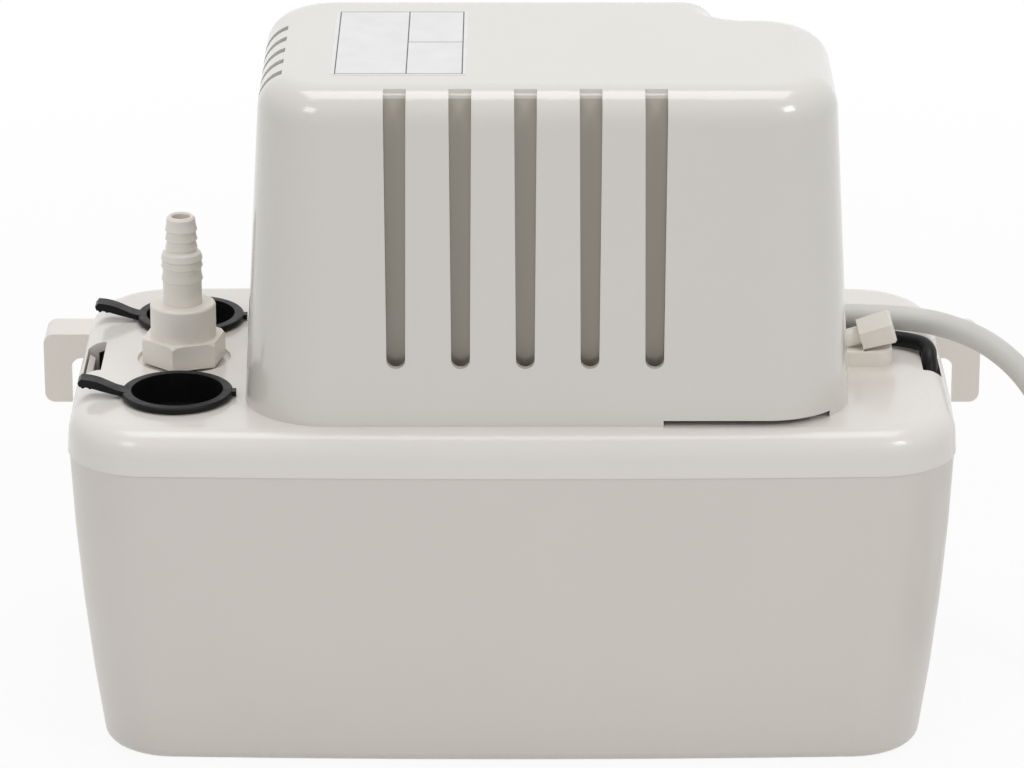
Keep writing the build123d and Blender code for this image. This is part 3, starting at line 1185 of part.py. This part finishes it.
def make_plug():
    """Round earthed plug lying on the floor with its two pins towards the rear."""
    x, y, z = plug_root
    place = Plane(origin=(x, y, z), z_dir=(0, 1, 0), x_dir=(1, 0, 0))
    sleeve = Cone(SLEEVE_THIN / 2, SLEEVE_THICK / 2, SLEEVE_LONG, align=LOW_END)
    for k in range(4):
        groove = Pos(0, 0, 4.0 + 4.5 * k)
        sleeve -= groove * (Cylinder(20, 1.6, align=LOW_END) - Cylinder(SLEEVE_THIN / 2 - 0.3 + 0.3 * k, 1.6, align=LOW_END))
    grip_end = SLEEVE_LONG + GRIP_LONG
    waist = Pos(0, 0, SLEEVE_LONG - 1) * Circle(SLEEVE_THICK / 2)
    middle = Pos(0, 0, SLEEVE_LONG + GRIP_LONG * 0.45) * Ellipse(PLUG_BODY * 0.36, PLUG_BODY * 0.27)
    shoulder = Pos(0, 0, grip_end) * Circle(PLUG_BODY / 2 - 1.5)
    grip = loft([waist, middle, shoulder])
    face = Pos(0, 0, grip_end - 0.5) * Cylinder(PLUG_BODY / 2, FACE_LONG + 0.5, align=LOW_END)
    face = chamfer(face.edges().group_by(Axis.Z)[0], 1.4)
    front = grip_end + FACE_LONG
    plug = sleeve + grip + face
    for side in (-1, 1):
        notch = Pos(0, side * (PLUG_BODY / 2), front - 9.0) * Box(9.0, 4.4, 18.1)
        plug -= notch
        contact = Pos(0, side * (PLUG_BODY / 2 - 2.4), front - 8.0) * Box(5.0, 1.2, 14.0)
        plug += contact
    plug -= Pos(0, -5.0, front - 12.0) * Cylinder(2.6, 12.1, align=LOW_END)
    for side in (-1, 1):
        pin = Pos(side * PIN_PITCH / 2, 0, front - 2.0) * Cylinder(PLUG_PIN / 2, PIN_LONG + 2.0, align=LOW_END)
        plug += chamfer(pin.edges().group_by(Axis.Z)[-1], 1.2)
    return place * plug


save("mains_cord", tube(cord_route, CORD))
save("cord_coil", make_coil())
save("cord_end", tube(end_route, CORD))
save("mains_plug", make_plug())
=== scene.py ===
import math

import bmesh
import bpy
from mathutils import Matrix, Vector


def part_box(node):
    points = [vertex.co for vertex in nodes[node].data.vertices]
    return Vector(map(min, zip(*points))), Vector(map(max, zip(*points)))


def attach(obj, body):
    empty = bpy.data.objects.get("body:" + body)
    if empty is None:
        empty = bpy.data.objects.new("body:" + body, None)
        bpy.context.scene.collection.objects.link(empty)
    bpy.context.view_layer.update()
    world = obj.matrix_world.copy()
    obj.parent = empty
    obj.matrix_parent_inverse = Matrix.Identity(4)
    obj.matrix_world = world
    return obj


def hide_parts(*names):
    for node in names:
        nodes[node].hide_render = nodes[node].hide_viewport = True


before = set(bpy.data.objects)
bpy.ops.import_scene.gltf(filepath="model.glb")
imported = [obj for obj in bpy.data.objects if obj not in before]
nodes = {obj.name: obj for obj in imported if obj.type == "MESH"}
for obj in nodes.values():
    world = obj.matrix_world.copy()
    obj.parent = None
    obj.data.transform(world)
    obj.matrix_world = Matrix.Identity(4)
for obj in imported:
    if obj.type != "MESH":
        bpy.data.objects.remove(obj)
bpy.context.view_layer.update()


# Camera: square on to the front and 20.6 degrees above level

LENS = 175.78            # millimetres
SENSOR = 36.0
CAMERA_PLACE = (0.0, -1.5103, 0.6720)
CAMERA_TILT = 69.4       # degrees from straight down


def make_camera():
    data = bpy.data.cameras.new("camera")
    data.lens = LENS
    data.sensor_width = SENSOR
    data.clip_start = 0.05
    data.clip_end = 20.0
    camera = bpy.data.objects.new("camera", data)
    camera.location = CAMERA_PLACE
    camera.rotation_euler = (math.radians(CAMERA_TILT), 0.0, 0.0)
    bpy.context.scene.collection.objects.link(camera)
    bpy.context.scene.camera = camera


make_camera()


# Materials

WAVE_SCALE = 0.314159    # a wave texture of this scale has one band per unit


class Shader:
    """A principled material with helpers for its procedural inputs."""

    def __init__(self, name):
        self.material = bpy.data.materials.new(name)
        self.material.use_nodes = True
        self.tree = self.material.node_tree
        self.tree.nodes.clear()
        self.output = self.node("ShaderNodeOutputMaterial")
        self.shader = self.node("ShaderNodeBsdfPrincipled")
        self.link(self.shader.outputs["BSDF"], self.output.inputs["Surface"])
        self.place = self.node("ShaderNodeTexCoord").outputs["Object"]

    def node(self, kind):
        return self.tree.nodes.new(kind)

    def link(self, a, b):
        self.tree.links.new(a, b)

    def set(self, **values):
        for key, value in values.items():
            self.shader.inputs[key.replace("_", " ")].default_value = value

    def stretched(self, scale):
        mapping = self.node("ShaderNodeMapping")
        mapping.inputs["Scale"].default_value = scale
        self.link(self.place, mapping.inputs["Vector"])
        return mapping.outputs["Vector"]

    def noise(self, size, detail=3.0, rough=0.5, scale=(1, 1, 1)):
        texture = self.node("ShaderNodeTexNoise")
        texture.inputs["Scale"].default_value = 1.0 / size
        texture.inputs["Detail"].default_value = detail
        texture.inputs["Roughness"].default_value = rough
        self.link(self.stretched(scale), texture.inputs["Vector"])
        return texture.outputs["Fac"]

    def waves(self, pitch, axis="Z"):
        texture = self.node("ShaderNodeTexWave")
        texture.bands_direction = axis
        texture.wave_profile = "SIN"
        texture.inputs["Scale"].default_value = WAVE_SCALE / pitch
        self.link(self.place, texture.inputs["Vector"])
        return texture.outputs["Fac"]

    def ramp(self, value, low, high, at=(0.3, 0.7)):
        ramp = self.node("ShaderNodeValToRGB")
        ramp.color_ramp.elements[0].position = at[0]
        ramp.color_ramp.elements[1].position = at[1]
        ramp.color_ramp.elements[0].color = (*low, 1)
        ramp.color_ramp.elements[1].color = (*high, 1)
        self.link(value, ramp.inputs["Fac"])
        return ramp.outputs["Color"]

    def spread(self, value, low, high):
        span = self.node("ShaderNodeMapRange")
        span.inputs["From Min"].default_value = 0.3
        span.inputs["From Max"].default_value = 0.7
        span.inputs["To Min"].default_value = low
        span.inputs["To Max"].default_value = high
        self.link(value, span.inputs["Value"])
        return span.outputs["Result"]

    def color(self, source):
        self.link(source, self.shader.inputs["Base Color"])

    def rough(self, source):
        self.link(source, self.shader.inputs["Roughness"])

    def bump(self, *heights):
        """Stacks bump maps, each given as (height, distance in metres)."""
        normal = None
        for height, distance in heights:
            bump = self.node("ShaderNodeBump")
            bump.inputs["Distance"].default_value = distance
            self.link(height, bump.inputs["Height"])
            if normal is not None:
                self.link(normal, bump.inputs["Normal"])
            normal = bump.outputs["Normal"]
        self.link(normal, self.shader.inputs["Normal"])


def shade(color, factor):
    return tuple(c * factor for c in color)


def moulded_plastic(name, color, rough, gloss=0.0, grain_depth=0.000004):
    """Injection-moulded plastic: faint colour drift, slow sink ripples and a fine skin."""
    s = Shader(name)
    drift = s.noise(0.05, 2.0)
    s.color(s.ramp(drift, shade(color, 0.985), color))
    s.rough(s.spread(s.noise(0.012, 4.0), rough - 0.02, rough + 0.02))
    s.bump((s.noise(0.04, 1.0), 0.00002), (s.noise(0.0006, 2.0), grain_depth))
    s.set(Coat_Weight=gloss, Coat_Roughness=0.07, IOR=1.48)
    return s.material


def add_shade_behind_slots(material):
    """Darkens the faces behind the cover's skin, which are seen only through its slots."""
    tree = material.node_tree
    shader = next(node for node in tree.nodes if node.type == "BSDF_PRINCIPLED")
    outer = shader.inputs["Base Color"].links[0].from_socket
    low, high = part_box("motor_cover")
    lean = COVER_LEAN / (high[2] - low[2])
    place = tree.nodes.new("ShaderNodeTexCoord")
    axes = tree.nodes.new("ShaderNodeSeparateXYZ")
    tree.links.new(place.outputs["Object"], axes.inputs["Vector"])

    def compute(operation, *values):
        node = tree.nodes.new("ShaderNodeMath")
        node.operation = operation
        for socket, value in zip(node.inputs, values):
            if isinstance(value, float):
                socket.default_value = value
            else:
                tree.links.new(value, socket)
        return node.outputs["Value"]

    x, y, z = axes.outputs["X"], axes.outputs["Y"], axes.outputs["Z"]
    skin = compute("MULTIPLY_ADD", z, lean, low[1] - low[2] * lean + SKIN)
    inside = compute("GREATER_THAN", y, skin)
    for test in (compute("LESS_THAN", y, low[1] + SHADE_DEPTH),
                 compute("LESS_THAN", z, high[2] - SKIN),
                 compute("GREATER_THAN", x, low[0] + SIDE_BAND),
                 compute("LESS_THAN", x, high[0] - SIDE_BAND)):
        inside = compute("MULTIPLY", inside, test)
    tint = tree.nodes.new("ShaderNodeMixRGB")
    tint.blend_type = "MULTIPLY"
    tint.inputs["Color2"].default_value = (*SLOT_SHADE, 1)
    tree.links.new(inside, tint.inputs["Fac"])
    tree.links.new(outer, tint.inputs["Color1"])
    tree.links.new(tint.outputs["Color"], shader.inputs["Base Color"])


def rubber(name, color, rough=0.5):
    s = Shader(name)
    s.color(s.ramp(s.noise(0.02, 3.0), shade(color, 0.93), shade(color, 1.04)))
    s.rough(s.spread(s.noise(0.003, 4.0), rough - 0.07, rough + 0.08))
    s.bump((s.noise(0.0007, 3.0), 0.00002))
    s.set(Specular_IOR_Level=0.17)
    return s.material


def metal(name, color, rough, grain=(1, 1, 1)):
    s = Shader(name)
    s.color(s.ramp(s.noise(0.004, 4.0), shade(color, 0.86), color))
    s.rough(s.spread(s.noise(0.0015, 3.0, scale=grain), rough - 0.08, rough + 0.08))
    s.bump((s.noise(0.0008, 3.0, scale=grain), 0.00002))
    s.set(Metallic=1.0)
    return s.material


def laminated(name):
    """Stack of punched sheets, seen as fine dark lines every half millimetre."""
    s = Shader(name)
    sheets = s.waves(0.0005)
    s.color(s.ramp(sheets, (0.05, 0.05, 0.055), (0.30, 0.30, 0.31), at=(0.1, 0.6)))
    s.rough(s.spread(s.noise(0.003, 3.0), 0.35, 0.5))
    s.bump((sheets, 0.00005))
    s.set(Metallic=0.85)
    return s.material


def taped_coil(name):
    """Copper winding under a layer of amber tape: the turns show through as ribs."""
    s = Shader(name)
    turns = s.waves(0.0006, axis="X")
    s.color(s.ramp(turns, (0.42, 0.20, 0.03), (0.75, 0.42, 0.06)))
    s.rough(s.spread(s.noise(0.004, 2.0), 0.2, 0.35))
    s.bump((turns, 0.00004), (s.noise(0.004, 2.0), 0.0001))
    s.set(Coat_Weight=0.5, Coat_Roughness=0.1)
    return s.material


def float_foam(name):
    s = Shader(name)
    s.color(s.ramp(s.noise(0.002, 5.0), (0.70, 0.70, 0.67), (0.82, 0.82, 0.79)))
    s.rough(s.spread(s.noise(0.002, 3.0), 0.5, 0.65))
    s.bump((s.noise(0.0012, 3.0), 0.00006))
    return s.material


def paper_label(name):
    s = Shader(name)
    s.color(s.ramp(s.noise(0.01, 3.0), (0.80, 0.80, 0.80), (0.86, 0.86, 0.86)))
    s.rough(s.spread(s.noise(0.004, 3.0), 0.28, 0.36))
    s.bump((s.noise(0.0006, 2.0), 0.00001))
    return s.material


TANK_COLOR = (0.765, 0.722, 0.672)
# The lugs are the tank's plastic; this colour is painted lighter to stand for light shining through
# their thin walls
LUG_PAINTED_LIGHT_COLOR = (0.95, 0.90, 0.84)
LID_COLOR = (0.85, 0.81, 0.76)
COVER_COLOR = (0.765, 0.74, 0.69)
FITTING_COLOR = (0.94, 0.90, 0.83)

# Shade behind the cover's slots, in metres from its box
COVER_LEAN = 0.006
SKIN = 0.0032
SHADE_DEPTH = 0.022
SIDE_BAND = 0.030
SLOT_SHADE = (0.70, 0.665, 0.60)

finishes = {
    "tank": moulded_plastic("tank_plastic", TANK_COLOR, 0.34, 0.2),
    # The lugs' finish is the tank's plastic with painted light: a lighter colour for the light
    # through their thin walls
    "lug": moulded_plastic("lug_plastic_painted_light", LUG_PAINTED_LIGHT_COLOR, 0.36, 0.1),
    "lid": moulded_plastic("lid_plastic", LID_COLOR, 0.31, 0.5),
    "motor_cover": moulded_plastic("cover_plastic", COVER_COLOR, 0.21, 0.6),
    "fitting": moulded_plastic("fitting_plastic", FITTING_COLOR, 0.38, 0.05, grain_depth=0.00001),
    "gland": moulded_plastic("gland_plastic", (0.90, 0.86, 0.79), 0.34, 0.2),
    "plug": rubber("plug_rubber", (0.008, 0.008, 0.009), 0.36),
    "lead": rubber("lead_rubber", (0.007, 0.007, 0.008), 0.34),
    "cord": rubber("cord_rubber", (0.75, 0.735, 0.695), 0.42),
    "dark": moulded_plastic("dark_plastic", (0.06, 0.063, 0.068), 0.42),
    "hose": moulded_plastic("hose_plastic", (0.55, 0.56, 0.54), 0.3, 0.2),
    "laminations": laminated("laminations"),
    "steel": metal("zinc_steel", (0.62, 0.63, 0.65), 0.36),
    "stainless": metal("stainless_steel", (0.66, 0.66, 0.66), 0.22, grain=(1, 1, 0.05)),
    "bronze": metal("sintered_bronze", (0.56, 0.36, 0.16), 0.42),
    "copper": metal("bare_copper", (0.72, 0.33, 0.18), 0.3),
    "coil": taped_coil("taped_winding"),
    "nylon": moulded_plastic("natural_nylon", (0.76, 0.74, 0.68), 0.4),
    "foam": float_foam("float_foam"),
    "inner": moulded_plastic("inner_plastic", (0.62, 0.62, 0.60), 0.4),
    "black": moulded_plastic("switch_plastic", (0.03, 0.03, 0.032), 0.38),
    "wire": rubber("wire_insulation", (0.10, 0.16, 0.42), 0.4),
    "label": paper_label("label_paper"),
    "ink": rubber("label_ink", (0.10, 0.10, 0.11), 0.45),
}

add_shade_behind_slots(finishes["motor_cover"])

FINISH_OF = {
    "tank": "tank", "left_hanging_lug": "lug", "right_hanging_lug": "lug",
    "lid": "lid", "motor_cover": "motor_cover",
    "check_valve_body": "fitting", "hose_tail": "fitting",
    "gland_block": "gland", "gland_nut": "gland",
    "front_inlet_plug": "plug", "rear_inlet_plug": "plug", "valve_seal": "plug",
    "alarm_lead": "lead",
    "cord_bushing": "cord", "cord_inner_end": "cord", "mains_plug": "cord",
    "pump_column": "dark", "volute_cover": "dark", "volute": "dark", "inlet_strainer": "dark",
    "impeller": "dark", "cooling_fan": "dark", "water_slinger": "dark", "discharge_hose": "hose",
    "stator_core": "laminations", "core_bar": "laminations", "motor_rotor": "laminations",
    "upper_bearing_strap": "steel", "lower_bearing_strap": "steel", "strap_screws": "steel",
    "motor_bolts": "steel", "column_screws": "steel", "cover_screws": "steel",
    "switch_screws": "steel", "switch_bracket": "steel", "clamp_screw": "steel",
    "motor_shaft": "stainless", "float_pin": "stainless", "float_rod": "stainless",
    "check_ball": "stainless", "switch_lever": "stainless",
    "shaft_bearings": "bronze", "switch_terminals": "bronze", "shading_rings": "copper",
    "winding": "coil", "bobbin": "nylon", "terminal_block": "nylon", "cord_clamp": "nylon",
    "float": "foam", "safety_ring_float": "foam",
    "float_arm": "inner", "float_bracket": "inner", "safety_bracket": "inner", "safety_stem": "inner",
    "switch_body": "black", "switch_plunger": "black", "inner_leads": "wire",
}


for node, finish in FINISH_OF.items():
    nodes[node].data.materials.clear()
    nodes[node].data.materials.append(finishes[finish])


# Mains cord: the route of part.py, then the coil's turns, then the run to the plug

CORD = 0.008
TURN_POINTS = 16
TURNS = 5.5
COIL_MIDDLE = (0.2390, -0.0840)
COIL_RADIUS = 0.0400     # middle turn
COIL_PITCH = 0.0078      # from turn to turn on one level
LOWER_LEVEL = 0.0040
UPPER_LEVEL = 0.0114
CURVE_PULL = 0.981       # the curve's radius over that of its control points
LANE_CHANGE = 0.25       # share of a turn in which the cord moves to the next lane


def coil_points():
    """Points of the turns: inwards along the lower level, then outwards on the upper one."""
    outer, inner = COIL_RADIUS + COIL_PITCH, COIL_RADIUS - COIL_PITCH
    lanes = [(outer, LOWER_LEVEL), (COIL_RADIUS, LOWER_LEVEL), (inner, LOWER_LEVEL),
             (inner, UPPER_LEVEL), (COIL_RADIUS, UPPER_LEVEL), (outer, UPPER_LEVEL)]
    grow = 1.0 / CURVE_PULL
    points = []
    for k in range(int(TURNS * TURN_POINTS) + 1):
        turn = k / TURN_POINTS
        lane = int(turn)
        after = min(lane + 1, len(lanes) - 1)
        share = min(max((turn - lane - 1.0 + LANE_CHANGE) / LANE_CHANGE, 0.0), 1.0)
        radius = lanes[lane][0] + (lanes[after][0] - lanes[lane][0]) * share
        height = lanes[lane][1] + (lanes[after][1] - lanes[lane][1]) * share
        angle = math.pi + 2 * math.pi * turn
        points.append((COIL_MIDDLE[0] + grow * radius * math.cos(angle),
                       COIL_MIDDLE[1] + grow * radius * math.sin(angle), height))
    return points


CORD_ROUTE = [
    (0.1060, 0.0190, 0.1208), (0.1290, 0.0190, 0.1208), (0.1488, 0.0188, 0.1153),
    (0.1618, 0.0175, 0.1071), (0.1718, 0.0151, 0.0955), (0.1776, 0.0119, 0.0816),
    (0.1799, 0.0062, 0.0584), (0.1827, 0.0003, 0.0328), (0.1845, -0.0085, 0.0192),
    (0.1867, -0.0211, 0.0093), (0.18897, -0.03637, 0.0040), (0.1912, -0.05221, 0.0040),
]
PLUG_RUN = [
    (0.2868, -0.05221, 0.0114), (0.2891, -0.03587, 0.0114), (0.2904, -0.01621, 0.01825),
    (0.2904, 0.00029, 0.01825),
]


def make_cord():
    curve = bpy.data.curves.new("mains_cord_line", "CURVE")
    curve.dimensions = "3D"
    points = CORD_ROUTE + coil_points() + PLUG_RUN
    spline = curve.splines.new("NURBS")
    spline.points.add(len(points) - 1)
    for slot, point in zip(spline.points, points):
        slot.co = (*point, 1.0)
    spline.order_u = 3
    spline.use_endpoint_u = True
    spline.resolution_u = 6
    curve.bevel_depth = CORD / 2
    curve.bevel_resolution = 6
    cord = bpy.data.objects.new("mains_cord_run", curve)
    bpy.context.scene.collection.objects.link(cord)
    cord.data.materials.append(finishes["cord"])
    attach(cord, "housing")
    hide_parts("mains_cord", "cord_coil", "cord_end")
    return cord


make_cord()


# Blank label on the cover's top, with a printed border and two dividing lines

LABEL = (-0.0560, -0.0140, -0.0380, 0.0320)   # left, right, front and rear edges
LABEL_ROUND = 0.002
COLUMN_LINE = 0.022      # from the border's left side
ROW_LINE_Y = -0.0030
LABEL_FILM = 0.00012
INK_FILM = 0.00002
INK_LINE = 0.00035
BORDER_INSET = 0.0012


def rounded_outline(x0, x1, y0, y1, corner):
    """Corner points of a rounded rectangle, anticlockwise."""
    outline = []
    for cx, cy, start in ((x1 - corner, y1 - corner, 0), (x0 + corner, y1 - corner, 90),
                          (x0 + corner, y0 + corner, 180), (x1 - corner, y0 + corner, 270)):
        for step in range(5):
            angle = math.radians(start + step * 22.5)
            outline.append((cx + corner * math.cos(angle), cy + corner * math.sin(angle)))
    return outline


def add_film(mesh, outline, z, thickness):
    """Adds a thin flat piece with the given outline to a mesh."""
    face = mesh.faces.new([mesh.verts.new((x, y, z)) for x, y in outline])
    raised = bmesh.ops.extrude_face_region(mesh, geom=[face])
    bmesh.ops.translate(mesh, vec=Vector((0, 0, thickness)),
                        verts=[v for v in raised["geom"] if isinstance(v, bmesh.types.BMVert)])


def film_object(name, mesh, finish):
    """Makes an object of the mesh, painted and fixed to the housing."""
    bmesh.ops.recalc_face_normals(mesh, faces=mesh.faces)
    data = bpy.data.meshes.new(name)
    mesh.to_mesh(data)
    mesh.free()
    film = bpy.data.objects.new(name, data)
    bpy.context.scene.collection.objects.link(film)
    film.data.materials.append(finishes[finish])
    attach(film, "housing")


def make_label():
    x0, x1, y0, y1 = LABEL
    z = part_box("motor_cover")[1][2]
    sheet = bmesh.new()
    add_film(sheet, rounded_outline(x0, x1, y0, y1, LABEL_ROUND), z, LABEL_FILM)
    film_object("blank_label", sheet, "label")
    left, right = x0 + BORDER_INSET, x1 - BORDER_INSET
    front, rear = y0 + BORDER_INSET, y1 - BORDER_INSET
    column = left + COLUMN_LINE
    lines = [(left, right, front, front + INK_LINE), (left, right, rear - INK_LINE, rear),
             (left, left + INK_LINE, front, rear), (right - INK_LINE, right, front, rear),
             (column, column + INK_LINE, front, rear),
             (column, right, ROW_LINE_Y, ROW_LINE_Y + INK_LINE)]
    ink = bmesh.new()
    for a, b, c, d in lines:
        add_film(ink, [(a, c), (b, c), (b, d), (a, d)], z + LABEL_FILM, INK_FILM)
    film_object("label_border", ink, "ink")


make_label()


# Floor, backdrop and light

FLOOR_HALF = 4.0
FLOOR_GLOW = 0.90        # share of plain white that the camera sees in the floor by the object
GLOW_NEAR = 0.25         # the share rises from here
GLOW_FAR = 0.75          # to plain white here
SKY_FILL = 0.40

# Name, place, target, size and power of each lamp
LAMPS = [
    ("key_left", (-0.75, -0.95, 1.15), (0, 0, 0.12), (0.40, 0.40), 2.3),
    ("key_right", (0.85, -0.85, 1.15), (0, 0, 0.12), (0.40, 0.40), 3.6),
    ("top", (0.0, 0.15, 1.5), (0, 0, 0.15), (1.2, 0.8), 7.6),
]


def white_to_camera(tree, surface, share):
    """Mixes plain white into what camera, mirror and glass rays see of a surface.

    The share is an output socket between 0 and 1."""
    glow = tree.nodes.new("ShaderNodeEmission")
    path = tree.nodes.new("ShaderNodeLightPath")
    mirror = tree.nodes.new("ShaderNodeMath")
    mirror.operation = "MAXIMUM"
    direct = tree.nodes.new("ShaderNodeMath")
    direct.operation = "MAXIMUM"
    weight = tree.nodes.new("ShaderNodeMath")
    weight.operation = "MULTIPLY"
    mix = tree.nodes.new("ShaderNodeMixShader")
    tree.links.new(path.outputs["Is Glossy Ray"], mirror.inputs[0])
    tree.links.new(path.outputs["Is Transmission Ray"], mirror.inputs[1])
    tree.links.new(path.outputs["Is Camera Ray"], direct.inputs[0])
    tree.links.new(mirror.outputs["Value"], direct.inputs[1])
    tree.links.new(direct.outputs["Value"], weight.inputs[0])
    tree.links.new(share, weight.inputs[1])
    tree.links.new(weight.outputs["Value"], mix.inputs["Fac"])
    tree.links.new(surface, mix.inputs[1])
    tree.links.new(glow.outputs["Emission"], mix.inputs[2])
    return mix.outputs["Shader"]


def make_floor():
    data = bpy.data.meshes.new("floor")
    corners = [(-1, -1), (1, -1), (1, 1), (-1, 1)]
    data.from_pydata([(x * FLOOR_HALF, y * FLOOR_HALF, 0) for x, y in corners], [], [(0, 1, 2, 3)])
    floor = bpy.data.objects.new("floor", data)
    bpy.context.scene.collection.objects.link(floor)
    s = Shader("floor_white")
    s.color(s.ramp(s.noise(0.4, 2.0), (0.94, 0.94, 0.94), (0.96, 0.96, 0.96)))
    s.set(Roughness=0.7, Specular_IOR_Level=0.1)
    reach = s.node("ShaderNodeVectorMath")
    reach.operation = "LENGTH"
    s.link(s.place, reach.inputs[0])
    share = s.node("ShaderNodeMapRange")
    share.inputs["From Min"].default_value = GLOW_NEAR
    share.inputs["From Max"].default_value = GLOW_FAR
    share.inputs["To Min"].default_value = FLOOR_GLOW
    share.inputs["To Max"].default_value = 1.0
    s.link(reach.outputs["Value"], share.inputs["Value"])
    seen = white_to_camera(s.tree, s.shader.outputs["BSDF"], share.outputs["Result"])
    s.link(seen, s.output.inputs["Surface"])
    floor.data.materials.append(s.material)


def area_light(name, place, target, size, power):
    data = bpy.data.lights.new(name, "AREA")
    data.shape = "RECTANGLE"
    data.size, data.size_y = size
    data.energy = power
    light = bpy.data.objects.new(name, data)
    light.location = place
    direction = Vector(target) - Vector(place)
    light.rotation_euler = direction.to_track_quat("-Z", "Y").to_euler()
    bpy.context.scene.collection.objects.link(light)


def make_world():
    world = bpy.data.worlds.new("studio")
    bpy.context.scene.world = world
    world.use_nodes = True
    tree = world.node_tree
    tree.nodes.clear()
    output = tree.nodes.new("ShaderNodeOutputWorld")
    fill = tree.nodes.new("ShaderNodeBackground")
    fill.inputs["Strength"].default_value = SKY_FILL
    fill.inputs["Color"].default_value = (1, 1, 1, 1)
    whole = tree.nodes.new("ShaderNodeValue")
    whole.outputs["Value"].default_value = 1.0
    seen = white_to_camera(tree, fill.outputs["Background"], whole.outputs["Value"])
    tree.links.new(seen, output.inputs["Surface"])


make_floor()
make_world()
for name, place, target, size, power in LAMPS:
    area_light(name, place, target, size, power)

scene = bpy.context.scene
scene.view_settings.view_transform = "Standard"
scene.view_settings.look = "None"
scene.view_settings.exposure = 0.0
scene.view_settings.gamma = 1.0
